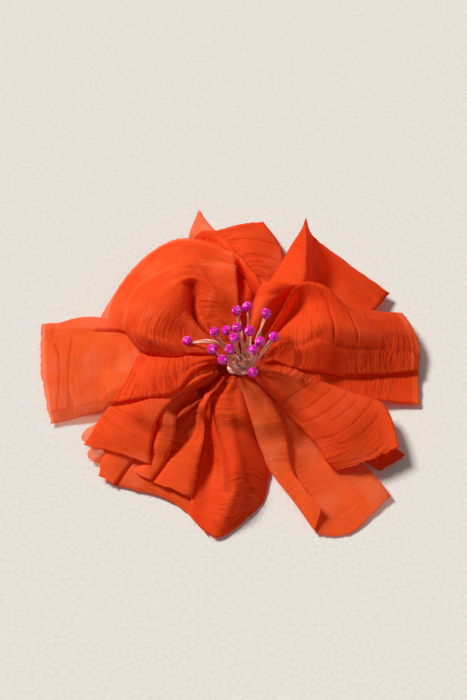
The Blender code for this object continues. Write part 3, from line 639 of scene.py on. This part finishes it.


# Creases and puckers that show as lines of their own, each through three places (u, v) on the cloth:
# u across the petal from its first column, v from root to end, then depth and half width in
# millimetres. A crease of negative depth is a ridge. Every other crease, even one of no depth, also
# has shade painted into the colour; the wide ones at the roots and in the gaps between petals are
# there mostly for that painted shade.
CREASES = {
    "petal_back": [
        ((0.1, 0.82), (0.5, 0.81), (0.95, 0.82), 0.3, 0.35),
        ((0.3, 0.66), (0.6, 0.67), (0.95, 0.65), 0.3, 0.35),
        ((0.02, 0.25), (0.08, 0.4), (0.12, 0.5), 1.2, 2.4),
    ],
    "petal_back_left_pointed": [
        ((0.0, 0.2), (0.1, 0.33), (0.25, 0.42), 1.5, 2.4),
        ((0.6, 0.56), (0.72, 0.42), (0.8, 0.26), 4.0, 2.6),
        ((0.15, 0.85), (0.45, 0.72), (0.7, 0.6), 0.8, 0.5),
    ],
    "petal_right_cupped": [
        ((0.05, 0.38), (0.25, 0.46), (0.62, 0.49), 0.5, 0.4),
        ((0.15, 0.6), (0.38, 0.62), (0.6, 0.62), 0.45, 0.4),
        ((0.5, 0.14), (0.62, 0.26), (0.6, 0.42), 1.0, 1.3),
        ((0.62, 0.4), (0.68, 0.55), (0.66, 0.8), 0.4, 0.5),
    ],
    "petal_right_under": [((0.3, 0.25), (0.4, 0.5), (0.35, 0.8), 0.4, 0.5)],
    "petal_front_right": [
        ((0.15, 0.38), (0.45, 0.34), (0.8, 0.31), 0.14, 0.35),
        ((0.08, 0.5), (0.4, 0.47), (0.75, 0.42), 0.12, 0.35),
        ((0.06, 0.6), (0.45, 0.56), (0.85, 0.5), 0.16, 0.35),
        ((0.1, 0.67), (0.35, 0.645), (0.6, 0.61), 0.12, 0.35),
        ((0.05, 0.76), (0.45, 0.72), (0.9, 0.68), 0.15, 0.35),
        ((0.15, 0.83), (0.5, 0.8), (0.75, 0.77), 0.12, 0.35),
        ((0.93, 0.15), (0.9, 0.3), (0.88, 0.5), 0.5, 0.4),
    ],
    "petal_front_spoon": [
        ((0.6, 0.22), (0.57, 0.47), (0.6, 0.75), 1.6, 1.6),
        ((0.35, 0.3), (0.4, 0.5), (0.38, 0.72), -0.6, 1.2),
    ],
    "petal_front_right_sheer": [
        ((0.4, 0.3), (0.5, 0.6), (0.45, 0.9), 0.4, 0.8), ((0.3, 0.05), (0.35, 0.22), (0.4, 0.4), 1.5, 3.5),
    ],
    "petal_left_wide": [
        ((0.78, 0.93), (0.5, 0.9), (0.12, 0.95), 0.14, 0.4),
        ((0.8, 0.83), (0.5, 0.85), (0.1, 0.87), 0.12, 0.4),
        ((0.11, 0.35), (0.1, 0.7), (0.1, 0.98), 0.12, 0.4),
        ((0.9, 0.45), (0.8, 0.6), (0.84, 0.8), 0.4, 0.8),
    ],
    "petal_back_left_outer": [
        ((0.3, 0.93), (0.42, 0.84), (0.55, 0.9), 0.6, 1.0),
        ((0.36, 0.72), (0.4, 0.85), (0.38, 0.98), 0.6, 0.9),
        ((0.5, 0.8), (0.58, 0.9), (0.66, 0.86), 0.6, 1.1),
        ((0.12, 0.7), (0.2, 0.82), (0.17, 0.95), 0.5, 0.9),
        ((0.7, 0.75), (0.78, 0.85), (0.88, 0.84), 0.5, 0.9),
    ],
    # No depth: only a line of painted shade round each loop's rolled end.
    "petal_left_loop_upper": [((0.0, 0.93), (0.5, 0.99), (1.0, 0.93), 0, 0.35)],
    "petal_left_loop_lower": [((0.0, 0.93), (0.5, 0.99), (1.0, 0.93), 0, 0.35)],
    "petal_front_left_tab": [((0.5, 0.0), (0.6, 0.12), (0.5, 0.28), 2.4, 2.5)],
    "petal_front_left_narrow": [((0.0, 0.05), (0.0, 0.25), (0.1, 0.48), 2.4, 2.0)],
    "petal_left_doubled": [((0.85, 0.2), (0.8, 0.5), (0.82, 0.9), 0.5, 0.9)],
    "petal_back_left_cupped": [
        ((0.64, 0.6), (0.6, 0.39), (0.5, 0.18), 3.0, 2.0), ((0.12, 0.3), (0.2, 0.6), (0.16, 0.9), 0.5, 1.0),
        ((0.75, 0.3), (0.78, 0.6), (0.76, 0.85), -0.6, 1.2),
    ],
}


ROUND_ENDED = ("petal_left_loop_upper", "petal_left_loop_lower")
PINKED = ("petal_front_right",)  # cut with zigzag shears
CREPE_LOW = ("petal_right_cupped",)  # smooth over its hump, and crinkled below it


# Petals


def empty_heap():
    """The lowest height at which a petal's middle may lie, over the table, the upper jaw and the felt."""
    side = np.arange(0, 2 * MAP_HALF + CELL, CELL) - MAP_HALF
    x, y = np.meshgrid(side, side, indexing="ij")
    heap = np.full(x.shape, LOWEST_PETAL)
    jaw_ends = (JAW_LOW[0] - MIDDLE[0], JAW_HIGH[0] - MIDDLE[0])
    beside = abs(y) < JAW_HALF_WIDTH + CLEARANCE
    heap[(x > jaw_ends[0] - CLEARANCE) & (x < FINGER_END_FROM) & beside] = JAW_TOP + CLEARANCE
    heap[(x >= FINGER_END_FROM) & (x < jaw_ends[1] + CLEARANCE) & beside] = JAW_HIGH[2] + CLEARANCE
    heap[np.hypot(x - FOOT[0], y - FOOT[1]) < FELT_RADIUS + CLEARANCE] = FELT_TOP + CLEARANCE
    return heap


def cells_of(grid):
    cells = np.rint((grid[..., :2] + MAP_HALF) / CELL).astype(int)
    return cells[..., 0], cells[..., 1]


def drape(heap, grid):
    """The petal lifted clear of the heap, with the lift eased out over its neighbourhood."""
    grid = grid.copy()
    for reach in (8, 5, 3, 2, 2, 1, 1):
        short = np.clip(heap[cells_of(grid)] - grid[..., 2], 0, None)
        if short.max() <= 0:
            break
        grid[..., 2] += blurred(spread(short, reach), max(1, reach // 2))
    return grid


def add_to_heap(heap, grid):
    """Raises the map by the petal, so that the next one keeps CLEARANCE from it in every direction."""
    ix, iy = cells_of(grid)
    reach = int(CLEARANCE / CELL) + 1
    for i in range(-reach, reach + 1):
        for j in range(-reach, reach + 1):
            aside = max(0.0, math.hypot(i, j) - 0.5) * CELL
            if aside < CLEARANCE:
                rise = math.sqrt(CLEARANCE**2 - aside**2)
                np.maximum.at(heap, (ix + i, iy + j), grid[..., 2] + rise)


class Petal:
    """One petal's surface, as a grid of points from root to end and across, with its cloth measures."""

    def __init__(self, name, seed, rows, creases, cloth):
        self.name, self.seed = name, seed
        self.crinkle_depth, self.sheerness, self.pleats, self.fold_depth, self.bands = cloth
        along = spline(np.array(rows, float), STEPS_PER_SPAN)
        surface = spline(along.swapaxes(0, 1), STEPS_PER_SPAN, creases).swapaxes(0, 1)
        surface = evened(surface, ROW_STEP)
        self.grid = evened(surface.swapaxes(0, 1), COLUMN_STEP).swapaxes(0, 1)
        self.measure()
        if name in ROUND_ENDED:
            self.round_end()
        self.press(CREASES.get(name, ()))
        self.ruffle()

    def measure(self):
        """Places on the flat cloth: across and along in millimetres, and the same as shares u and v."""
        grid = self.grid
        self.length = np.linalg.norm(np.diff(grid, axis=0), axis=2).mean(axis=1).sum()
        self.width = np.linalg.norm(np.diff(grid, axis=1), axis=2).sum(axis=1).max()
        rows, columns = grid.shape[:2]
        self.v, self.u = np.meshgrid(np.linspace(0, 1, rows), np.linspace(0, 1, columns), indexing="ij")
        self.across = (self.u - 0.5) * self.width
        self.along = self.v * self.length

    def round_end(self):
        """Draws the end in to a half round."""
        radius = self.width / 2
        past = np.clip((self.along - self.length + radius) / radius, 0, 0.97)
        middle = self.grid.mean(axis=1, keepdims=True)
        self.grid = middle + (self.grid - middle) * np.sqrt(1 - past**2)[..., None]

    def press(self, creases):
        """Sinks the named creases, and keeps how much shade is painted into each place by them."""
        self.painted_crease_shade = np.zeros(self.u.shape)
        t = np.linspace(0, 1, CREASE_SAMPLES)[:, None]
        for start, bend, end, depth, half_width in creases:
            start, bend, end = np.array(start), np.array(bend), np.array(end)
            path = start * (1 - t) ** 2 + (4 * bend - start - end) * t * (1 - t) + end * t**2
            sway = 0.3 * half_width * noise(self.across / 3, self.along / 3, self.seed + 800)
            aside = self.across[..., None] - (path[:, 0] - 0.5) * self.width + sway[..., None]
            ahead = self.along[..., None] - path[:, 1] * self.length + sway[..., None]
            share = np.exp(-(np.hypot(aside, ahead).min(axis=2) / half_width) ** 2)
            self.grid[..., 2] -= depth * share
            # Painted shade: a sunk crease is darkened as though shade fell in it, thin ones as dark lines
            # and wide ones more with depth; ridges get none.
            if depth >= 0:
                dark = 0.7 if half_width < FINE_CREASE else min(1.0, depth / FULL_CREASE)
                self.painted_crease_shade = np.maximum(self.painted_crease_shade, share * dark)

    def ruffle(self):
        """Pleats that fade out from the root, long soft folds, and an outline that isn't quite true."""
        sway = noise(self.v * 3, self.u * 0, self.seed + 100)
        near_root = self.v / 0.14 * np.exp(1 - self.v / 0.14)
        pleat = np.sin(2 * np.pi * self.pleats * (self.u + 0.08 * sway)) * near_root
        fold = noise(self.u * 2.2 + 9, self.v * 1.2, self.seed + 200) * smooth_step(0.05, 0.5, self.v)
        edge = abs(2 * self.u - 1) ** 3 * noise(self.along / 7, self.u * 1.9, self.seed + 300)
        self.grid[..., 2] += 0.35 * pleat + self.fold_depth * fold + 0.35 * edge
        ragged = noise(self.along / 3.5, self.u * 3, self.seed + 400)
        outward = np.gradient(self.grid, axis=1)
        outward /= np.linalg.norm(outward, axis=2, keepdims=True) + 1e-9
        self.grid += outward * (0.22 * ragged * (2 * self.u - 1) ** 5)[..., None]

    def crinkle(self):
        """Puckers across the petal's length: fine ridges between thin, wandering valleys."""
        across, along, seed = self.across, self.along, self.seed
        wander = 1.9 * noise(across / 11, along / 9, seed) + 0.5 * noise(across / 4, along / 5, seed + 1)
        line = noise(across / 13, (along + wander) / PUCKER_PITCH, seed + 2)
        fine = noise(across / 5 + 7, (along + wander) / FINE_PITCH, seed + 3)
        fold = noise(across / 7 + 3, (along + wander) / FOLD_PITCH, seed + 7)
        patch = np.clip(0.75 + 0.9 * noise(across / 12 + 3, along / 12, seed + 4), 0.15, 1.5)
        if self.name in CREPE_LOW:
            patch *= 0.4 + 0.8 * smooth_step(0.35, 0.7, self.u)
        valley = np.exp(-((line / VALLEY_WIDTH) ** 2))
        # Painted shade: the crinkles' valleys and the pressed creases darken the colour through the valley
        # attribute.
        self.valley = np.clip(patch * valley, 0, 1) * min(0.8, self.crinkle_depth / 0.12)
        self.valley = np.maximum(self.valley, self.painted_crease_shade)
        self.crepe = np.clip(patch * self.crinkle_depth / 0.1, 0.1, 1)
        crease = np.exp(-((fold / 0.07) ** 2))
        rise = 0.6 * line + 0.3 * fine + 0.4 * fold - 0.9 * valley - 1.2 * crease
        return 0.95 * self.crinkle_depth * patch * rise

    def sheer(self):
        """How sheer each place is, with the bands along the edges laid over."""
        field = np.full(self.u.shape, self.sheerness)
        field += 0.12 * noise(self.across / 8, self.along / 8, self.seed + 5)
        from_edge = {"end": self.length - self.along, "start": self.u * self.width}
        for edge, width, value in self.bands:
            inside = 1 - smooth_step(width - 0.4, width + 0.2, from_edge[edge])
            field += inside * (value - field)
        return np.clip(field, 0, 1)

    def fray(self):
        """The cut end, with its yarns pulled unevenly."""
        outward = self.grid[-1] - self.grid[-3]
        outward /= np.linalg.norm(outward, axis=1, keepdims=True)
        yarn = noise(self.across[-1] / 0.7, self.across[-1] * 0, self.seed + 6)
        if self.name in PINKED:
            yarn += 4 * abs(self.across[-1] / PINK_PITCH % 1 - 0.5) - 1
        self.grid[-1] += outward * (0.28 * yarn)[:, None]
        self.grid[-2] += outward * (0.14 * yarn)[:, None]

    def make(self, material):
        """The petal as a piece: crinkled, thickened, and with its fringe."""
        self.fray()
        surface = self.grid + grid_normals(self.grid) * self.crinkle()[..., None] + MIDDLE
        rows, columns = surface.shape[:2]
        corner = np.arange(rows * columns).reshape(rows, columns)
        faces = np.stack([corner[:-1, :-1], corner[:-1, 1:], corner[1:, 1:], corner[1:, :-1]], axis=-1)
        points, faces = surface.reshape(-1, 3), faces.reshape(-1, 4).tolist()
        obj = add_mesh(f"{self.name}_chiffon", points, faces, material)
        # valley carries the painted shade of the crinkles and creases.
        for name, field in (("sheer", self.sheer()), ("valley", self.valley), ("crepe", self.crepe)):
            obj.data.attributes.new(name, "FLOAT", "POINT").data.foreach_set("value", field.ravel())
        layer = obj.data.uv_layers.new(name="cloth")
        vertex = np.empty(len(obj.data.loops), int)
        obj.data.loops.foreach_get("vertex_index", vertex)
        uv = np.stack([self.across.ravel(), self.along.ravel()], axis=1)[vertex] / UV_UNIT
        layer.data.foreach_set("uv", uv.ravel())
        thickness = obj.modifiers.new("thickness", "SOLIDIFY")
        thickness.thickness = PETAL_THICKNESS * MM
        thickness.offset = 0
        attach(obj, "flower")
        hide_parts(self.name)
        self.make_fringe(material)

    def make_fringe(self, material):
        """Loose yarns along the cut end."""
        random = np.random.default_rng(self.seed + 500)
        outward = self.grid[-1] - self.grid[-4]
        outward /= np.linalg.norm(outward, axis=1, keepdims=True)
        parts = []
        for start, away in zip(self.grid[-1], outward):
            if random.random() < FRINGE_SHARE:
                reach = random.uniform(0.3, 1.0)
                drift = random.uniform(-0.35, 0.35, 3) * [1, 1, 0.5]
                foot = start - 0.3 * away + MIDDLE
                path = [foot + t * reach * (away + t * drift) for t in (0, 0.4, 0.8, 1.2)]
                parts.append(tube_parts(path, [0.05, 0.05, 0.045, 0.03], sides=4))
        fringe = add_mesh(f"{self.name}_fringe", *joined_parts(parts), material)
        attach(fringe, "flower")
        return fringe


def make_petals():
    cloth = chiffon("orange chiffon", (1.0, 0.17, 0.03), (0.88, 0.07, 0.008), (1.0, 0.018, 0.001))
    heap = empty_heap()
    for seed, (name, (rows, creases)) in enumerate(PETALS.items()):
        petal = Petal(name, seed, rows, creases, CLOTH[name])
        petal.grid = drape(heap, petal.grid)
        add_to_heap(heap, petal.grid)
        petal.make(cloth)


# Stamens


def turned_parts(profile, segments):
    """Points and faces of a closed profile of (radius, z) turned about Z."""
    points, faces = [], []
    for i in range(segments):
        angle = 2 * math.pi * i / segments
        points += [(r * math.cos(angle), r * math.sin(angle), z) for r, z in profile]
    count = len(profile)
    for i in range(segments):
        for j in range(count):
            a, b = i * count + j, i * count + (j + 1) % count
            c, d = (i + 1) % segments * count + (j + 1) % count, (i + 1) % segments * count + j
            faces.append((a, d, c, b))
    return np.array(points), faces


def bead_mesh(radius, random):
    """A round glass bead cut flat between five rows of corners, each facet given its own painted
    reflection.
    """
    bm = bmesh.new()
    for degrees, turn in FACET_ROWS:
        high = math.radians(degrees)
        for i in range(FACETS_ROUND):
            around = 2 * math.pi * (i + turn) / FACETS_ROUND
            bm.verts.new((
                radius * math.cos(high) * math.cos(around),
                radius * math.cos(high) * math.sin(around),
                radius * math.sin(high),
            ))
    bmesh.ops.convex_hull(bm, input=bm.verts)
    bmesh.ops.dissolve_limit(bm, angle_limit=math.radians(1), verts=bm.verts, edges=bm.edges)
    bmesh.ops.bevel(bm, geom=bm.edges[:], offset=0.05, segments=1, affect="EDGES")
    bmesh.ops.recalc_face_normals(bm, faces=bm.faces)
    bmesh.ops.scale(bm, vec=(MM, MM, MM), verts=bm.verts)
    mesh = bpy.data.meshes.new("bead")
    bm.to_mesh(mesh)
    bm.free()
    # Painted reflection: a random brightness for each facet, standing for the light bounced inside the
    # glass.
    painted_facet_reflection = mesh.attributes.new("painted_facet_reflection", "FLOAT", "FACE")
    painted_facet_reflection.data.foreach_set("value", random.random(len(mesh.polygons)))
    return mesh


def make_stamens():
    magenta = faceted_glass("magenta glass")
    nylon = clear_nylon("peach nylon", (1.0, 0.47, 0.34), 0.1, 0.45)
    random = np.random.default_rng(7)
    for number in range(1, BEAD_COUNT + 1):
        bead_node, stem_node = f"bead_{number:02}", f"stem_{number:02}"
        bead_middle = node_middle(bead_node)
        stem_middle = node_middle(stem_node)
        aim = bead_middle - stem_middle
        aim /= np.linalg.norm(aim)
        neck = bead_middle - aim * BEAD_RADIUS
        foot = 2 * stem_middle - neck
        bead = bpy.data.objects.new(f"{bead_node}_faceted", bead_mesh(1.03 * BEAD_RADIUS, random))
        bpy.context.scene.collection.objects.link(bead)
        bead.data.materials.append(magenta)
        bead.location = Vector(bead_middle * MM)
        turn = Vector(aim).to_track_quat("Z", "Y")
        bead.rotation_mode = "QUATERNION"
        bead.rotation_quaternion = turn
        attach(bead, "flower")
        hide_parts(bead_node)
        make_stem(stem_node, foot, neck, aim, nylon, random)


def make_stem(node, foot, neck, aim, nylon, random):
    """Two strands of nylon twisted round each other, with the bead glued on their ends."""
    side = np.cross(aim, [0.2, 0.1, 1.0])
    side /= np.linalg.norm(side)
    other = np.cross(aim, side)
    start = random.uniform(0, math.pi)
    turns = random.uniform(0.4, 1.1)
    bow = side * random.uniform(-0.35, 0.35) + other * random.uniform(-0.35, 0.35)
    if aim[2] < LOW_STEM:
        bow = np.array([1.9, 1.2, 3.5])
    strands = []
    for half in (0, math.pi):
        path = []
        for t in np.linspace(0, 1, 26):
            angle = start + half + 2 * math.pi * turns * t
            gap = STRAND_RADIUS * (0.95 + 0.3 * math.sin(math.pi * t))
            gap *= 1 - 0.45 * smooth_step(0.85, 1.0, t)
            middle = foot + (neck + 0.3 * aim - foot) * t + bow * math.sin(math.pi * t)
            path.append(middle + gap * (math.cos(angle) * side + math.sin(angle) * other))
        strands.append(tube_parts(path, STRAND_RADIUS, sides=8))
    stem = add_mesh(f"{node}_strands", *joined_parts(strands), nylon)
    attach(stem, "flower")
    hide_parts(node)


def make_dish():
    """The clear blob of glue that holds the strands' feet, and loose ends of nylon round it."""
    low, high = node_box("stamen_dish")
    middle = (low + high) / 2
    radius = (high[0] - low[0]) / 2
    glue = clear_nylon("clear glue", (1.0, 0.45, 0.4), 0.05, 0.5)
    bm = bmesh.new()
    bmesh.ops.create_icosphere(bm, subdivisions=5, radius=1)
    points = np.array([v.co for v in bm.verts])
    faces = [[v.index for v in f.verts] for f in bm.faces]
    bm.free()
    lumps = 1 + 0.12 * noise(points[:, 0] * 2.6 + 5, points[:, 1] * 2.6 + points[:, 2], 31)
    drip = np.linalg.norm(points - [-0.88, -0.42, 0.2], axis=1)
    lumps += 0.38 * np.exp(-((drip / 0.55) ** 2))
    points *= lumps[:, None]
    points *= [radius * 0.92, radius * 0.92, 0.95]
    points[:, 2] += 0.5
    blob = add_mesh("stamen_dish_glue", points + [middle[0], middle[1], low[2] + 0.1], faces, glue)
    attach(blob, "flower")
    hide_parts("stamen_dish")
    nylon = clear_nylon("loose nylon", (1.0, 0.76, 0.7), 0.06, 0.5)
    random = np.random.default_rng(11)
    loops = []
    for i in range(LOOP_COUNT):
        angle = 2 * math.pi * i / LOOP_COUNT + random.uniform(-0.3, 0.3)
        reach = random.uniform(1.2, 3.0)
        tall = random.uniform(2.0, 5.0)
        out = np.array([math.cos(angle), math.sin(angle), 0])
        across = np.array([-out[1], out[0], 0])
        base = np.array([middle[0], middle[1], high[2]])
        route = np.array([
            base + out * 0.8 - across * 0.6,
            base + out * reach + [0, 0, tall * 0.7] - across * 0.5,
            base + out * (reach + 0.5) + [0, 0, tall],
            base + out * reach + [0, 0, tall * 0.6] + across * 0.7,
            base + out * 1.4 + across * 0.8,
        ])
        loops.append(tube_parts(spline(route, 6), 0.13, sides=6))
    tangle = add_mesh("loose_nylon_loops", *joined_parts(loops), nylon)
    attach(tangle, "flower")


def make_knot():
    """The gathering thread, wound round the petals' roots."""
    low, high = node_box("gathering_knot")
    middle, radius = (low + high) / 2, (high[0] - low[0]) / 2
    turns = int((high[2] - low[2]) / THREAD_PITCH)
    reach = radius - 0.2
    path = []
    for t in np.linspace(0, 1, turns * 18):
        angle = 2 * math.pi * turns * t
        path.append([middle[0] + reach * math.cos(angle), middle[1] + reach * math.sin(angle),
                     low[2] + 0.2 + (high[2] - low[2] - 0.4) * t])
    core = turned_parts([(0.3, high[2] - 0.1), (0.3, low[2] + 0.1), (radius - 0.3, low[2] + 0.1),
                         (radius - 0.3, high[2] - 0.1)], 24)
    core_points = core[0] + [middle[0], middle[1], 0]
    winding = joined_parts([tube_parts(path, 0.19, sides=6), (core_points, core[1])])
    knot = add_mesh("gathering_knot_thread", *winding, thread("gathering thread"))
    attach(knot, "flower")
    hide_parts("gathering_knot")


# Felt and clip


def make_felt():
    """A die-cut felt disc with a soft rim and matted faces."""
    middle = (FELT_LOW + FELT_HIGH) / 2
    half = (FELT_HIGH[2] - FELT_LOW[2]) / 2
    rounding = 0.3
    profile = [(r, half) for r in np.linspace(0.4, FELT_RADIUS - rounding, 36)]
    arc = [math.pi / 2 - math.pi * i / 8 for i in range(1, 8)]
    profile += [(FELT_RADIUS - rounding + rounding * math.cos(a), half * math.sin(a)) for a in arc]
    profile += [(r, -half) for r in np.linspace(FELT_RADIUS - rounding, 0.4, 36)]
    points, faces = turned_parts(profile, 180)
    bumps = noise(points[:, 0] / 0.55, points[:, 1] / 0.55 + points[:, 2] * 9, 41)
    points[:, 2] += 0.05 * bumps * np.sign(points[:, 2])
    wobble = 1 + 0.006 * noise(np.arctan2(points[:, 1], points[:, 0]) * 6, points[:, 2], 42)
    points[:, :2] *= wobble[:, None]
    felt = add_mesh("felt_backing_wool", points + middle, faces, wool_felt("wool felt"))
    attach(felt, "flower")
    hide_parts("felt_backing")


def make_clip():
    """Plating and worn edges on the CAD's own clip pieces, and the spring wire."""
    steel = plated_steel("nickel plated steel")
    for node in ("clip_upper_jaw", "clip_lower_jaw", "hinge_pin"):
        cad = frame["nodes"][node]
        cad.data.materials.clear()
        cad.data.materials.append(steel)
        rounded = cad.modifiers.new("worn edges", "BEVEL")
        rounded.width = 0.12 * MM
        rounded.segments = 2
        rounded.limit_method = "ANGLE"
        rounded.angle_limit = math.radians(40)
    make_spring(steel)


def make_spring(steel):
    """The torsion spring, smooth, with its legs bent towards each jaw's finger end."""
    x, y, z = HINGE
    near, far = y - COIL_HALF, y + COIL_HALF
    per_turn = 20
    steps = int(COIL_TURNS * per_turn)
    points = [(x + 9.5, near, z - 1.7), (x + 7, near, z - 1.6), (x + 4, near, z - 1.48)]
    for i in range(steps + 1):
        angle = 2 * math.pi * i / per_turn
        across = near + 2 * COIL_HALF * i / steps
        points.append((x - COIL_RADIUS * math.sin(angle), across, z - COIL_RADIUS * math.cos(angle)))
    points += [(x + 4, far, z + 1.6), (x + 7, far, z + 1.75), (x + 10, far, z + 1.9)]
    spring = add_mesh("torsion_spring_wire", *tube_parts(points, 0.3, sides=12), steel)
    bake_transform(spring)
    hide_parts("torsion_spring")


# Studio


def make_studio():
    """A plain pale floor, soft light and the camera."""
    bpy.ops.mesh.primitive_plane_add(size=14)
    floor = bpy.context.object
    floor.name = "studio_floor"
    floor.data.materials.append(pale_canvas("pale canvas"))
    add_sun("key light", (-0.92, 0.66, 1.21), 17, 4.47)
    add_sun("fill light", (1.0, -0.8, 1.2), 60, 0.2)
    world = bpy.data.worlds.new("soft studio")
    world.use_nodes = True
    background = world.node_tree.nodes["Background"]
    background.inputs["Color"].default_value = (1.0, 0.985, 0.96, 1)
    background.inputs["Strength"].default_value = 0.2
    bpy.context.scene.world = world
    bpy.context.scene.view_settings.view_transform = "Standard"
    bpy.context.scene.cycles.transparent_max_bounces = 32
    camera = bpy.data.objects.new("camera", bpy.data.cameras.new("camera"))
    camera.data.lens = 75
    camera.data.sensor_width = 36
    camera.location = Vector(MIDDLE * MM) + Vector(CAMERA_FROM_MIDDLE)
    camera.rotation_euler = (math.radians(90 - CAMERA_RISE), 0, 0)
    bpy.context.scene.collection.objects.link(camera)
    bpy.context.scene.camera = camera


def add_sun(name, towards, width, strength):
    """Even light from one side, as soft as a window that is width degrees across."""
    light = bpy.data.lights.new(name, "SUN")
    light.angle = math.radians(width)
    light.energy = strength
    obj = bpy.data.objects.new(name, light)
    obj.rotation_euler = (-Vector(towards)).to_track_quat("-Z", "Y").to_euler()
    bpy.context.scene.collection.objects.link(obj)


make_felt()
make_petals()
make_stamens()
make_dish()
make_knot()
make_clip()
make_studio()
